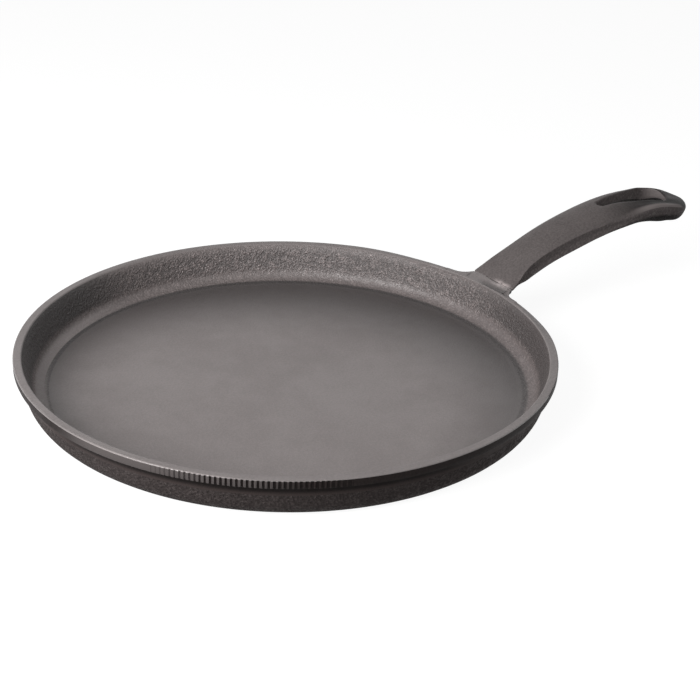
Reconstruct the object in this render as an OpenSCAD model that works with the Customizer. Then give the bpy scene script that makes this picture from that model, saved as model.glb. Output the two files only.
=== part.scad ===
// Cast iron comal: a low round griddle with one long arched handle bolted to a neck on the rim.
// Millimetres. The pan axis is Z, the base stands on z = 0 and the handle runs along +X.

/* [Pan] */
// Outside diameter of the rim band
rim_d = 260; // [220:1:300]
// Overall height of the pan, base to rim
pan_h = 22.5; // [20:0.5:30]
// Width of the flat ground top of the rim
rim_w = 4; // [3:0.1:6]
// Height of the machined band round the rim
band_h = 4.1; // [3:0.1:6]
// How far the band stands out from the wall below it
band_step = 2; // [1:0.1:2.5]
// Chamfer on both edges of the band
band_chamfer = 0.5; // [0.2:0.1:0.8]
// Thickness of the floor
floor_t = 3.5; // [3:0.1:6]
// Draft of the outside of the wall, in degrees
outer_draft = 14.3; // [8:0.1:18]
// Draft of the inside of the wall, in degrees
inner_draft = 17.5; // [12:0.1:22]
// Radius of the outside corner between wall and base
corner_r = 11; // [6:0.5:13]
// Radius of the inside corner between wall and floor
fillet_r = 6.5; // [4:0.5:8]

/* [Neck] */
// Distance from the rim band to the joint with the handle
neck_len = 4.5; // [4:0.1:10]
// Plan radius of the fillets between neck and band
neck_fillet_r = 8; // [5:0.5:10]
// Gap left between the two joint faces
joint_gap = 0.05; // [0.02:0.01:0.2]
// Diameter of the two locating nubs cast on the neck
nub_d = 2.6; // [2:0.1:3]
// How far a nub stands out of the joint face
nub_len = 1.8; // [1:0.1:3]
// Distance of each nub from the middle of the handle
nub_offset = 8.5; // [8:0.1:9]
// Depth of the nubs below the top of the handle
nub_depth = 2.9; // [2.7:0.1:3.1]
// Clearance round a nub in its socket
nub_clearance = 0.15; // [0.1:0.05:0.3]

/* [Handle] */
// Length of the handle in plan, joint to tip
handle_len = 145; // [140:0.5:155]
// How far the top of the handle stands above the rim at the joint
root_lift = 0.8; // [0.2:0.1:1.5]
// Distance from the joint to the crest of the arch
crest_at = 100; // [90:1:110]
// Radius of the arch from the joint up to its crest
rise_r = 194; // [185:1:215]
// Radius of the arch from its crest down to the tip
drop_r = 95; // [85:1:120]
// Half of the width at the joint
root_half_w = 14.8; // [14:0.1:16]
// Half of the width at the waist
waist_half_w = 12.4; // [11.5:0.1:13.5]
// Half of the width of the grip
grip_half_w = 16; // [14:0.1:18]
// Distance of the waist from the joint
waist_at = 25; // [20:1:30]
// Distance from the joint at which the grip has its full width
grip_at = 105; // [90:1:115]
// Plan length of the rounded tip
tip_len = 26; // [20:0.5:32]
// Drop of the section's edges below its middle at the joint
root_crown = 0.2; // [0.1:0.1:0.6]
// Drop of the section's edges below its middle along the grip
grip_crown = 7.3; // [5:0.1:9]
// Distance from the joint at which the crown is deepest
crown_at = 115; // [100:1:125]
// Thickness of the handle along its middle
strap_t = 5; // [4.5:0.1:6]
// Height of the edge at the joint
root_edge_h = 2.6; // [2.4:0.1:3.5]
// Height of the edge along the grip
grip_edge_h = 5.4; // [4:0.1:6]
// Width of the lip along the underside of each edge
lip_w = 3.5; // [3:0.1:4]
// Inward draft of the edge, top to lip
edge_draft = 0.6; // [0.2:0.1:1]
// Depth of the solid belly below the strap at the joint
belly_depth = 7.5; // [7:0.1:9]
// Distance from the joint over which the belly runs out
belly_end = 38; // [34:1:44]

/* [Hang slot] */
// Distance from the joint to the narrow end of the slot
slot_start = 76.5; // [72:0.5:84]
// Distance from the joint to the wide end of the slot
slot_end = 128.5; // [122:0.5:130]
// Diameter of the narrow end of the slot
slot_narrow_d = 6; // [4:0.5:8]
// Diameter of the wide end of the slot
slot_wide_d = 16.4; // [12:0.2:17]

/* [Handle bolt] */
// Diameter of the bolt
bolt_d = 5; // [4:0.5:5]
// Length of the bolt below its head
bolt_len = 25; // [22:1:26]
// Diameter of the bolt head
bolt_head_d = 8.5; // [7:0.1:9]
// Height of the bolt head
bolt_head_h = 5; // [3.5:0.1:5]
// Width across flats of the socket in the head
socket_af = 4; // [3:0.5:4]
// Depth of the socket
socket_depth = 2.5; // [1.5:0.1:3]
// Depth of the bolt's axis below the top of the handle at the joint
bolt_depth = 5.7; // [5.5:0.1:6.2]
// Thread clearance round the bolt in the neck
thread_clearance = 0.05; // [0.02:0.01:0.2]
// Clearance round the bolt in the handle
bolt_clearance = 0.25; // [0.1:0.05:0.5]
// Room left beyond the end of the bolt
bolt_end_room = 1.5; // [0.5:0.1:2]
// Solid length of the handle under the bolt head
block_len = 16; // [15:0.5:18]
// Clearance round the head and washer
head_clearance = 0.45; // [0.3:0.05:0.8]

/* [Lock washer] */
// Outside diameter of the split washer
washer_d = 9.2; // [8.6:0.1:9.4]
// Thickness of the split washer
washer_t = 1.2; // [0.8:0.1:1.6]
// Width of the washer's split
washer_split = 0.9; // [0.5:0.1:1.5]

/* [Hidden] */
$fn = 96;

iron = [0.28, 0.27, 0.265];
steel = [0.55, 0.56, 0.57];

rim_r = rim_d / 2;
joint_r = rim_r + neck_len;
washer_bore_d = bolt_d + 2 * thread_clearance;
under_head = block_len + washer_t;
bore_depth = bolt_len - under_head + bolt_end_room;

// How far the cutting tools reach past the faces that they open
past = 1;
// Size of the blocks that trim the neck and the handle at the joint
trim = 80;
// How far the band and the neck reach in past the rim's flat, before the inside is cut away
root_reach = 4;
neck_root = rim_r - rim_w - root_reach;

crest_h = root_lift + rise_r - sqrt(rise_r * rise_r - crest_at * crest_at);

// Points along the top, along the underside and along the length of the handle's loft
top_steps = 14;
under_steps = 10;
run_steps = 30;
tip_steps = 8;
// The loft starts this far inside the joint face, which then trims it
root_run = 7;
// Exponents of the crown, the underside and the belly across the width
crown_power = 2.2;
under_power = 2.2;
belly_power = 1.3;
// Exponents of the easing of the width and of the crown along the length
width_ease = 1.3;
crown_ease = 1.25;
// Share of a full half ellipse that the rounded tip takes up before its small flat end
tip_close = 0.985;

// The joint face and the bolt lean with the arch's chord over the belly, in degrees above level
joint_lean = atan((mid_z(belly_end) - mid_z(0)) / belly_end);

function smooth(t) = let(u = min(1, max(0, t))) u * u * (3 - 2 * u);

// Height of the handle's middle above the rim, at plan distance s from the joint
function mid_z(s) =
    let(r = s < crest_at ? rise_r : drop_r, run = s - crest_at)
    crest_h - r + sqrt(r * r - run * run);

// Share of the width that is left at the rounded tip
function tip_share(s) =
    let(u = tip_close * max(0, s - (handle_len - tip_len)) / tip_len) sqrt(1 - u * u);

// Half of the width: narrowing to the waist, then swelling to the grip
function half_w(s) = tip_share(s) * (waist_half_w + (s < waist_at
    ? (root_half_w - waist_half_w) * pow(1 - max(0, s) / waist_at, 2)
    : (grip_half_w - waist_half_w)
        * pow(sin(90 * min(1, (s - waist_at) / (grip_at - waist_at))), width_ease)));

// Drop of the edges below the middle
function crown(s) =
    root_crown + tip_share(s) * grip_crown * pow(sin(90 * max(0, s) / crown_at), crown_ease);

function edge_h(s) = root_edge_h + (grip_edge_h - root_edge_h) * smooth(s / waist_at);

function belly(s) = belly_depth * (1 - smooth((s - block_len) / (belly_end - block_len)));

// Cross section of the handle at distance s: [offset, depth] round the outline
function section(s) =
    let(w = half_w(s), c = crown(s), e = edge_h(s), lip = min(lip_w, w / 2), in = w - lip)
    concat(
        [for (i = [0:top_steps]) let(o = w * cos(180 * i / top_steps))
            [o, -c * pow(abs(o) / w, crown_power)]],
        [[-w + min(edge_draft, w / 4), -c - e]],
        [for (i = [0:under_steps]) let(o = -in * cos(180 * i / under_steps), q = abs(o) / in)
            [o, -strap_t - (c + e - strap_t) * pow(q, under_power)
                - belly(s) * (1 - pow(q, belly_power))]],
        [[w - min(edge_draft, w / 4), -c - e]]);

// Stations of the loft: even steps to the tip, then closer ones round it
stations = concat(
    [for (i = [0:run_steps]) -root_run + (handle_len - tip_len + root_run) * i / run_steps],
    [for (i = [1:tip_steps]) handle_len - tip_len + tip_len * sin(90 * i / tip_steps)]);

// Solid through all the stations
module handle_loft() {
    n = len(section(0));
    last = len(stations) - 1;
    points = [for (s = stations) for (p = section(s)) [s, p[0], mid_z(s) + p[1]]];
    sides = [for (j = [0:last - 1]) for (i = [0:n - 1]) let(k = (i + 1) % n)
        for (f = [[j * n + i, (j + 1) * n + i, j * n + k],
                  [j * n + k, (j + 1) * n + i, (j + 1) * n + k]]) f];
    hubs = [for (s = [stations[0], stations[last]]) [s, 0, mid_z(s) - strap_t / 2]];
    hub = n * (last + 1);
    caps = [for (i = [0:n - 1]) let(k = (i + 1) % n)
        for (f = [[hub, i, k], [hub + 1, last * n + k, last * n + i]]) f];
    polyhedron(concat(points, hubs), concat(sides, caps), convexity = 6);
}

// Places children at the joint: origin at the top of the joint face, +X out along the bolt
module at_joint() {
    translate([joint_r, 0, pan_h])
        rotate([0, -joint_lean, 0])
            children();
}

// Places children on the bolt's axis at distance a from the joint face, +Z towards the head
module on_bolt(a) {
    at_joint()
        translate([a, 0, -bolt_depth])
            rotate([0, 90, 0])
                children();
}

// Half profile of a dish: drafted wall from top_r at top_z, tangent corner of radius r at bottom_z
module dish_profile(top_r, top_z, bottom_z, draft, r, lid) {
    centre_z = bottom_z + r;
    tangent_z = centre_z - r * sin(draft);
    tangent_r = top_r - (top_z - tangent_z) * tan(draft);
    centre_r = tangent_r - r * cos(draft);
    intersection() {
        translate([centre_r, centre_z])
            circle(r);
        translate([centre_r, bottom_z])
            square(r);
    }
    polygon([
        [0, bottom_z], [centre_r, bottom_z], [centre_r, centre_z], [tangent_r, tangent_z],
        [top_r, top_z], [top_r, top_z + lid], [0, top_z + lid]]);
}

// Half profile of the band with its two chamfers
module band_profile() {
    low = pan_h - band_h;
    polygon([
        [neck_root, low], [rim_r - band_chamfer, low], [rim_r, low + band_chamfer],
        [rim_r, pan_h - band_chamfer], [rim_r - band_chamfer, pan_h], [neck_root, pan_h]]);
}

// Plan of the two fillets between the neck and the band
module neck_fillets() {
    centre_y = root_half_w + neck_fillet_r;
    centre_x = sqrt(pow(rim_r + neck_fillet_r, 2) - centre_y * centre_y);
    on_band = rim_r / (rim_r + neck_fillet_r);
    for (side = [-1, 1])
        difference() {
            polygon([
                [neck_root, 0], [centre_x, 0], [centre_x, side * root_half_w],
                [centre_x * on_band, side * centre_y * on_band], [neck_root, side * root_half_w]]);
            translate([centre_x, side * centre_y])
                circle(neck_fillet_r);
        }
}

// Neck: the handle's root section carried level into the wall, trimmed at the joint face
module neck() {
    edge_low = pan_h - root_crown - root_edge_h;
    difference() {
        union() {
            translate([neck_root, 0, pan_h])
                rotate([90, 0, 90])
                    linear_extrude(neck_len + rim_w + root_reach + 2 * root_run)
                        polygon(section(0));
            translate([0, 0, edge_low])
                linear_extrude(root_edge_h)
                    neck_fillets();
        }
        at_joint()
            translate([0, -trim / 2, -trim / 2])
                cube(trim);
    }
    for (side = [-1, 1])
        at_joint()
            translate([-nub_len, side * nub_offset, -nub_depth])
                rotate([0, 90, 0])
                    cylinder(h = 2 * nub_len, d = nub_d);
}

module pan() {
    color(iron)
        difference() {
            union() {
                rotate_extrude()
                    union() {
                        dish_profile(
                            rim_r - band_step, pan_h - band_h, 0, outer_draft, corner_r, band_h / 2);
                        band_profile();
                    }
                neck();
            }
            rotate_extrude()
                dish_profile(rim_r - rim_w, pan_h, floor_t, inner_draft, fillet_r, past);
            on_bolt(-bore_depth)
                cylinder(h = bore_depth + past, d = bolt_d + 2 * thread_clearance);
        }
}

// Teardrop plan of the hang slot: two round ends joined along their common tangents
module slot_plan() {
    r1 = slot_narrow_d / 2;
    r2 = slot_wide_d / 2;
    x1 = slot_start + r1;
    x2 = slot_end - r2;
    lean = asin((r2 - r1) / (x2 - x1));
    out = [-sin(lean), cos(lean)];
    translate([x1, 0])
        circle(r1);
    translate([x2, 0])
        circle(r2);
    polygon([
        [x1 + r1 * out[0], r1 * out[1]], [x2 + r2 * out[0], r2 * out[1]],
        [x2 + r2 * out[0], -r2 * out[1]], [x1 + r1 * out[0], -r1 * out[1]]]);
}

module handle() {
    pocket_d = washer_d + 2 * head_clearance;
    pocket_len = belly_end - block_len;
    color(iron)
        difference() {
            translate([joint_r, 0, pan_h])
                handle_loft();
            at_joint()
                translate([joint_gap - trim, -trim / 2, -trim / 2])
                    cube(trim);
            on_bolt(0)
                cylinder(h = block_len + past, d = bolt_d + 2 * bolt_clearance);
            on_bolt(block_len)
                cylinder(h = pocket_len, d = pocket_d);
            for (side = [-1, 1])
                at_joint()
                    translate([0, side * nub_offset, -nub_depth])
                        rotate([0, 90, 0])
                            cylinder(h = nub_len + nub_clearance, d = nub_d + 2 * nub_clearance);
            translate([joint_r, 0, 0])
                linear_extrude(pan_h + crest_h + past)
                    slot_plan();
        }
}

module handle_bolt() {
    color(steel)
        difference() {
            union() {
                on_bolt(under_head - bolt_len)
                    cylinder(h = bolt_len + bolt_head_h / 2, d = bolt_d);
                on_bolt(under_head)
                    cylinder(h = bolt_head_h, d = bolt_head_d);
            }
            on_bolt(under_head + bolt_head_h - socket_depth)
                cylinder(h = socket_depth + past, d = socket_af / cos(30), $fn = 6);
        }
}

module lock_washer() {
    color(steel)
        on_bolt(block_len)
            difference() {
                cylinder(h = washer_t, d = washer_d);
                translate([0, 0, -past])
                    cylinder(h = washer_t + 2 * past, d = washer_bore_d);
                translate([0, -washer_split / 2, -past])
                    cube([washer_d, washer_split, washer_t + 2 * past]);
            }
}

pan();
handle();
handle_bolt();
lock_washer();
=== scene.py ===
"""Cast iron comal: a low round griddle with a ground floor, a machined rim and one arched handle."""

import math

import bmesh
import bpy
from mathutils import Matrix, Vector


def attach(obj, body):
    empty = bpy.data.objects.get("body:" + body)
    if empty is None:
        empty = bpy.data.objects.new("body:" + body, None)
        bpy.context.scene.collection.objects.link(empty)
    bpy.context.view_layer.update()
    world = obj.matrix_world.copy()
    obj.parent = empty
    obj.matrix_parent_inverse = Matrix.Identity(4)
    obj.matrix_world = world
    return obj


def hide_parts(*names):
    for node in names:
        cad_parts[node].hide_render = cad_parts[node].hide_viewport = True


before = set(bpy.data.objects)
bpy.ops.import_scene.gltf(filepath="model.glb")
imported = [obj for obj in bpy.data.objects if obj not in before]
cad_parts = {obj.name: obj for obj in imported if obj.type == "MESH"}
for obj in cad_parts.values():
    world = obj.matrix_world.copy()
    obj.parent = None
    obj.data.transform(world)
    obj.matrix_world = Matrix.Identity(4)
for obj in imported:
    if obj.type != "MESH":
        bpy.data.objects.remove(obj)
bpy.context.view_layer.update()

# Shapes are drawn in millimetres and turned into metres when they become a piece
MM = 0.001

# Pan
RIM_R = 130.0
PAN_H = 22.5
RIM_W = 4.0
BAND_H = 4.1
BAND_STEP = 2.0
# Height of the strip under the band that has its own finish, which holds the painted shadow under the
# band's front
FOOT_H = 5.0
FLOOR_T = 3.5
OUTER_DRAFT = math.radians(14.3)
INNER_DRAFT = math.radians(17.5)
CORNER_R = 11.0
FILLET_R = 6.5
# The floor is ground this far below the foot of the fillet
FLOOR_STEP = 0.35
RIM_ROUND = 0.5
INNER_ROUND = 0.4
BAND_LOW = PAN_H - BAND_H
# Rings of the base's and the floor's flats
FLAT_RINGS = (0.0, 50.0, 95.0)
# What lies this far out from the inner wall's line belongs to the pan's outside
WALL_SPLIT = 1.2
# The turned shape is left as it is below this height
SHAPED_FROM = 6.0

# Neck and joint
NECK_LEN = 4.5
NECK_FILLET_R = 8.0
JOINT_R = RIM_R + NECK_LEN
JOINT_GAP = 0.05
# Open slit left where the handle's root does not close on the neck
SLIT_W = 1.0
SLIT_HALF_LEN = 5.4
SLIT_DEPTH = 2.6
# Dip of the rim on the near and on the far side of the neck
NEAR_DIP = 1.2
FAR_DIP = 0.8
# Hollow across the neck, and the lift of the neck between it and the joint
HOLLOW_X = 129.4
HOLLOW_W = 2.1
HOLLOW_DEPTH = 1.1
NECK_LIFT = 0.6
# Reach of the rounding at the rim's inner edge
EDGE_REACH = 3.4

# Handle
HANDLE_LEN = 147.0
ROOT_LIFT = 0.8
CREST_AT = 100.0
RISE_R = 194.0
DROP_R = 95.0
ROOT_HALF_W = 14.8
WAIST_HALF_W = 12.4
GRIP_HALF_W = 16.0
WAIST_AT = 25.0
GRIP_AT = 105.0
TIP_LEN = 26.0
ROOT_CROWN = 0.2
GRIP_CROWN = 7.3
CROWN_AT = 115.0
STRAP_T = 5.0
ROOT_EDGE_H = 2.6
GRIP_EDGE_H = 5.4
LIP_W = 3.5
EDGE_DRAFT = 0.6
BELLY_DEPTH = 7.5
BELLY_END = 38.0
# Exponents of the easing of the width and the crown, and of the section's curves
WIDTH_EASE = 1.3
CROWN_EASE = 1.25
TOP_POWER = 2.6
UNDER_POWER = 2.2
BELLY_POWER = 1.3

# Hang slot
SLOT_START = 76.5
SLOT_END = 128.5
SLOT_NARROW_R = 3.0
SLOT_WIDE_R = 8.2

# Screw and washer
BOLT_D = 5.0
BOLT_LEN = 25.0
BOLT_PITCH = 0.8
HEAD_D = 8.5
HEAD_H = 5.0
SOCKET_AF = 4.0
SOCKET_DEPTH = 2.5
SOCKET_R = 2.3
SOCKET_MOUTH_R = 2.6
KNURL_DEPTH = 0.12
KNURL_STEP = math.radians(5)
BOLT_DEPTH = 5.7
BOLT_CLEARANCE = 0.25
BLOCK_LEN = 16.0
POCKET_D = 10.1
WASHER_D = 9.2
WASHER_T = 1.2
WASHER_SPLIT = 0.9

# Camera: the handle's bearing, and the view of the rim's centre with its small aim errors
HANDLE_BEARING = math.radians(36.44)
CAMERA_ELEVATION = 0.4494
CAMERA_DISTANCE = 0.75056
CAMERA_YAW = -0.04012
CAMERA_PITCH = 0.00433
CAMERA_ROLL = 0.01444
CAMERA_LENS = 80.0


def smooth(t):
    """Eases from 0 to 1."""
    t = min(1.0, max(0.0, t))
    return t * t * (3.0 - 2.0 * t)


def between(a, b, t):
    return a + (b - a) * t


def steps(a, b, count):
    """Points from a to b, without a."""
    return [tuple(between(p, q, i / count) for p, q in zip(a, b)) for i in range(1, count + 1)]


def window(value, rise_from, rise, fall_from, fall):
    """1 between an eased rise and an eased fall, and 0 outside them."""
    return smooth((value - rise_from) / rise) * (1.0 - smooth((value - fall_from) / fall))


def on_view_axes(x, y, z):
    """A point given across, away from and above the view's own ground axes."""
    return Matrix.Rotation(-HANDLE_BEARING, 3, "Z") @ Vector((x, y, z))


# Shapes of the handle, at plan distance s from the joint and offset o from its middle


def mid_z(s):
    crest = ROOT_LIFT + RISE_R - math.sqrt(RISE_R ** 2 - CREST_AT ** 2)
    r = RISE_R if s < CREST_AT else DROP_R
    return crest - r + math.sqrt(r * r - (s - CREST_AT) ** 2)


def tip_share(s):
    u = min(1.0, max(0.0, s - (HANDLE_LEN - TIP_LEN)) / TIP_LEN)
    return math.sqrt(1.0 - u * u)


def half_w(s):
    if s < WAIST_AT:
        swell = (ROOT_HALF_W - WAIST_HALF_W) * (1.0 - max(0.0, s) / WAIST_AT) ** 2
    else:
        share = min(1.0, (s - WAIST_AT) / (GRIP_AT - WAIST_AT))
        swell = (GRIP_HALF_W - WAIST_HALF_W) * math.sin(math.pi / 2 * share) ** WIDTH_EASE
    return tip_share(s) * (WAIST_HALF_W + swell)


def crown(s):
    rise = math.sin(math.pi / 2 * max(0.0, s) / CROWN_AT) ** CROWN_EASE
    return ROOT_CROWN + tip_share(s) * GRIP_CROWN * rise


def edge_h(s):
    return between(ROOT_EDGE_H, GRIP_EDGE_H, smooth(s / WAIST_AT))


def top_z(s, o):
    share = min(1.0, abs(o) / max(half_w(s), 0.01))
    return mid_z(s) - crown(s) * share ** TOP_POWER


def under_z(s, o):
    belly = BELLY_DEPTH * (1.0 - smooth((s - BLOCK_LEN) / (BELLY_END - BLOCK_LEN)))
    w = half_w(s)
    q = min(1.0, abs(o) / max(w - min(LIP_W, w / 2), 0.01))
    edge = crown(s) + edge_h(s)
    return mid_z(s) - STRAP_T - (edge - STRAP_T) * q ** UNDER_POWER - belly * (1.0 - q ** BELLY_POWER)


JOINT_LEAN = math.atan((mid_z(BELLY_END) - mid_z(0.0)) / BELLY_END)


def joint_s(surface, o):
    """Where a surface of the handle meets the leaning joint face."""
    s = 0.0
    for _ in range(12):
        s = between(s, -surface(s, o) * math.tan(JOINT_LEAN), 0.6)
    return s + JOINT_GAP


def bolt_place(along):
    """Frame on the screw's axis at a distance from the joint face, +Z towards the head."""
    at_joint = Matrix.Translation((JOINT_R, 0, PAN_H)) @ Matrix.Rotation(-JOINT_LEAN, 4, "Y")
    return at_joint @ Matrix.Translation((along, 0, -BOLT_DEPTH)) @ Matrix.Rotation(math.pi / 2, 4, "Y")


# Building pieces


def new_object(name, bm, materials):
    """Closes a bmesh drawn in millimetres into an object in metres."""
    bmesh.ops.scale(bm, vec=(MM, MM, MM), verts=bm.verts)
    mesh = bpy.data.meshes.new(name)
    bm.to_mesh(mesh)
    bm.free()
    for material in materials:
        mesh.materials.append(material)
    piece = bpy.data.objects.new(name, mesh)
    bpy.context.scene.collection.objects.link(piece)
    return piece


def dress(piece, node):
    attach(piece, "root")
    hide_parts(node)


def apply_modifiers(piece):
    """Makes the modifiers' result the piece's own mesh."""
    bpy.context.view_layer.update()
    shown = piece.evaluated_get(bpy.context.evaluated_depsgraph_get())
    mesh = bpy.data.meshes.new_from_object(shown)
    piece.modifiers.clear()
    piece.data = mesh


def shade(piece, sharp_degrees):
    piece.data.shade_smooth()
    piece.data.set_sharp_from_angle(angle=math.radians(sharp_degrees))


def chain(bm, points):
    """An open line of edges in the XZ plane through (r, z) points."""
    verts = [bm.verts.new((r, 0.0, z)) for r, z in points]
    return verts + [bm.edges.new(pair) for pair in zip(verts, verts[1:])]


def turned(points, segments):
    """A bmesh turned about Z from an outline of (r, z) points."""
    bm = bmesh.new()
    bmesh.ops.spin(bm, geom=chain(bm, points), cent=(0, 0, 0), axis=(0, 0, 1),
                   angle=2 * math.pi, steps=segments, use_merge=True)
    bmesh.ops.remove_doubles(bm, verts=bm.verts, dist=0.001)
    bmesh.ops.recalc_face_normals(bm, faces=bm.faces)
    return bm


# Pan


def corner_arc(top_r, top_z_, bottom_z, draft, r, count):
    """Arc from the flat at bottom_z up to a drafted wall that reaches top_r at top_z_."""
    centre_z = bottom_z + r
    tangent_z = centre_z - r * math.sin(draft)
    tangent_r = top_r - (top_z_ - tangent_z) * math.tan(draft)
    centre_r = tangent_r - r * math.cos(draft)
    turns = [(math.pi / 2 - draft) * i / count for i in range(count + 1)]
    return [(centre_r + r * math.sin(a), centre_z - r * math.cos(a)) for a in turns]


def pan_outline():
    """Half section from the middle of the base, round the rim, to the middle of the floor."""
    wall_r = RIM_R - BAND_STEP
    inner_r = RIM_R - RIM_W
    outside = corner_arc(wall_r, BAND_LOW, 0.0, OUTER_DRAFT, CORNER_R, 9)
    inside = corner_arc(inner_r, PAN_H, FLOOR_T + FLOOR_STEP, INNER_DRAFT, FILLET_R, 9)
    inside.reverse()
    foot_r = inside[-1][0]
    outline = [(r, 0.0) for r in FLAT_RINGS] + outside
    outline += steps(outside[-1], (wall_r, BAND_LOW - 0.4), 13)
    # the band, with its two rounded edges
    outline += [(wall_r + 0.25, BAND_LOW - 0.05), (RIM_R - 0.6, BAND_LOW)]
    outline += [(RIM_R - 0.15, BAND_LOW + 0.15), (RIM_R, BAND_LOW + 0.55)]
    outline += [(RIM_R, PAN_H - 2.2), (RIM_R, PAN_H - 1.0), (RIM_R, PAN_H - RIM_ROUND)]
    outline += [(RIM_R - 0.15, PAN_H - 0.15), (RIM_R - RIM_ROUND, PAN_H)]
    outline += steps((RIM_R - RIM_ROUND, PAN_H), (inner_r + INNER_ROUND, PAN_H), 14)
    outline += [(inner_r + 0.1, PAN_H - 0.1), (inner_r - 0.2, PAN_H - 0.5)]
    outline += steps((inner_r - 0.2, PAN_H - 0.5), inside[0], 9)
    outline += inside[1:]
    # the step down to the ground floor
    outline += [(foot_r - 1.2, FLOOR_T + 0.75 * FLOOR_STEP), (foot_r - 2.4, FLOOR_T + 0.25 * FLOOR_STEP)]
    outline += [(foot_r - 3.6, FLOOR_T), (foot_r - 6.0, FLOOR_T)]
    outline += [(r, FLOOR_T) for r in reversed(FLAT_RINGS)]
    return outline


# Half of the neck's sector, in degrees from the handle
NECK_SECTOR = 12.0
# Row of chatter marks on the front of the band
CHATTER_FROM = 208.0
CHATTER_TO = 246.0
CHATTER_MARKS = 39
CHATTER_STEPS = 8
CHATTER_DEPTH = 0.35
# The grooves fade out over this many degrees at the row's ends
CHATTER_FADE = 6.0
# Share of its mark that a groove takes at the row's start and at its end
GROOVE_SHARES = (0.25, 0.65)
# Sectors of the turn: end angle and steps, from the neck round to the chatter marks and back
SECTORS = [
    (NECK_SECTOR, 96),
    (CHATTER_FROM, 203),
    (CHATTER_TO, CHATTER_MARKS * CHATTER_STEPS),
    (360.0 - NECK_SECTOR, 106),
]


def turned_pan():
    bm = bmesh.new()
    geom = chain(bm, pan_outline())
    start = -NECK_SECTOR
    to_start = Matrix.Rotation(math.radians(start), 3, "Z")
    bmesh.ops.rotate(bm, verts=bm.verts, cent=(0, 0, 0), matrix=to_start)
    for end, count in SECTORS:
        turn = bmesh.ops.spin(bm, geom=geom, cent=(0, 0, 0), axis=(0, 0, 1),
                              angle=math.radians(end - start), steps=count)
        geom = turn["geom_last"]
        start = end
    bmesh.ops.remove_doubles(bm, verts=bm.verts, dist=0.001)
    bmesh.ops.recalc_face_normals(bm, faces=bm.faces)
    return bm


def bearing(co):
    return math.degrees(math.atan2(co.y, co.x))


def inner_wall_r(z):
    return RIM_R - RIM_W - (PAN_H - z) * math.tan(INNER_DRAFT)


def neck_plan(turn):
    """Outer radius of the neck and its fillets at an angle from the handle."""
    centre_y = ROOT_HALF_W + NECK_FILLET_R
    centre_x = math.sqrt((RIM_R + NECK_FILLET_R) ** 2 - centre_y ** 2)
    flat = JOINT_R / math.cos(turn)
    reach = centre_x * math.cos(turn) + centre_y * math.sin(turn)
    inside = reach ** 2 - (centre_x ** 2 + centre_y ** 2 - NECK_FILLET_R ** 2)
    if inside <= 0.0:
        return flat if math.degrees(turn) < NECK_SECTOR / 2 else RIM_R
    if turn > math.atan2(centre_y, centre_x):
        return RIM_R
    return min(flat, reach - math.sqrt(inside))


def neck_under(o):
    """Depth of the neck's underside below the rim."""
    q = min(1.0, o / (ROOT_HALF_W - LIP_W))
    edge = ROOT_CROWN + ROOT_EDGE_H
    return STRAP_T + (edge - STRAP_T) * q ** UNDER_POWER + BELLY_DEPTH * (1.0 - q ** BELLY_POWER)


def rim_share(r, z):
    """0 on the pan's inside, 1 on its outside, rising across the rim's flat."""
    inner = RIM_R - RIM_W + INNER_ROUND
    if z > PAN_H - 0.2:
        return min(1.0, max(0.0, (r - inner) / (RIM_R - RIM_ROUND - inner)))
    return 1.0 if r > inner_wall_r(z) + WALL_SPLIT else 0.0


def neck_r(r, z, turn, share):
    """Radius of a point of the outside once the neck is drawn out of it."""
    if abs(turn) > NECK_SECTOR or share <= 0.0:
        return r
    away = math.radians(abs(turn))
    depth = PAN_H - z
    o = JOINT_R * math.tan(away)
    ramp = 2.2
    lean = depth * math.tan(JOINT_LEAN) * (1.0 - smooth((o - ROOT_HALF_W + 1.0) / 2.0))
    body = smooth((neck_under(o) - depth) / ramp + 0.5)
    slit = smooth((SLIT_HALF_LEN - o) / 1.2) * smooth(SLIT_DEPTH - depth) * smooth((share - 0.9) / 0.1)
    return r + (max(0.0, neck_plan(away) + lean - r) * body - SLIT_W * slit) * share


def soft_edge(turn):
    """How far the rim's inner edge is rounded away: soft at the back, softest beside the neck."""
    by_neck = window(turn, -22.0, 8.0, 14.0, 14.0)
    back = 0.5 * window(turn, -5.0, 15.0, 88.0, 30.0)
    return 0.05 + max(by_neck, back)


def rim_drop(x, o, z, turn, share):
    """How far the rim and the neck lie below the plain turned shape."""
    away = abs(turn)
    dip = (NEAR_DIP if turn < 0 else FAR_DIP) * window(away, 5.0, 6.0, 18.0, 18.0)
    dip *= between(0.25, 1.0, share) * smooth((z - BAND_LOW) / BAND_H)
    hollow = HOLLOW_DEPTH * math.exp(-((x - HOLLOW_X) / HOLLOW_W) ** 2) * smooth((6.0 - o) / 10.0)
    lift = NECK_LIFT * smooth((x - RIM_R) / 4.0) * smooth((o + 3.0) / 7.0) * smooth((15.0 - o) / 5.0)
    near_top = smooth((z - PAN_H + 2.0) / 2.0) * (1.0 - smooth((away - 6.0) / 6.0)) * smooth(share / 0.25)
    return dip + (hollow - lift) * near_top


def in_groove(turn):
    """Whether an angle falls in one of the upright grooves, which widen along their row."""
    along = (turn % 360.0 - CHATTER_FROM) / (CHATTER_TO - CHATTER_FROM)
    if not 0.0 < along < 1.0:
        return False
    return (along * CHATTER_MARKS + 0.5 / CHATTER_STEPS) % 1.0 < between(*GROOVE_SHARES, along)


def chatter_cut(r, z, turn):
    """Depth of the grooves that the chattering tool left on the front of the band."""
    on_band = r > RIM_R - 0.3 and BAND_LOW + 0.1 < z < PAN_H - 0.4
    if not on_band or not in_groove(turn):
        return 0.0
    from_ends = min(turn % 360.0 - CHATTER_FROM, CHATTER_TO - turn % 360.0)
    return CHATTER_DEPTH * smooth(from_ends / CHATTER_FADE)


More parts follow.
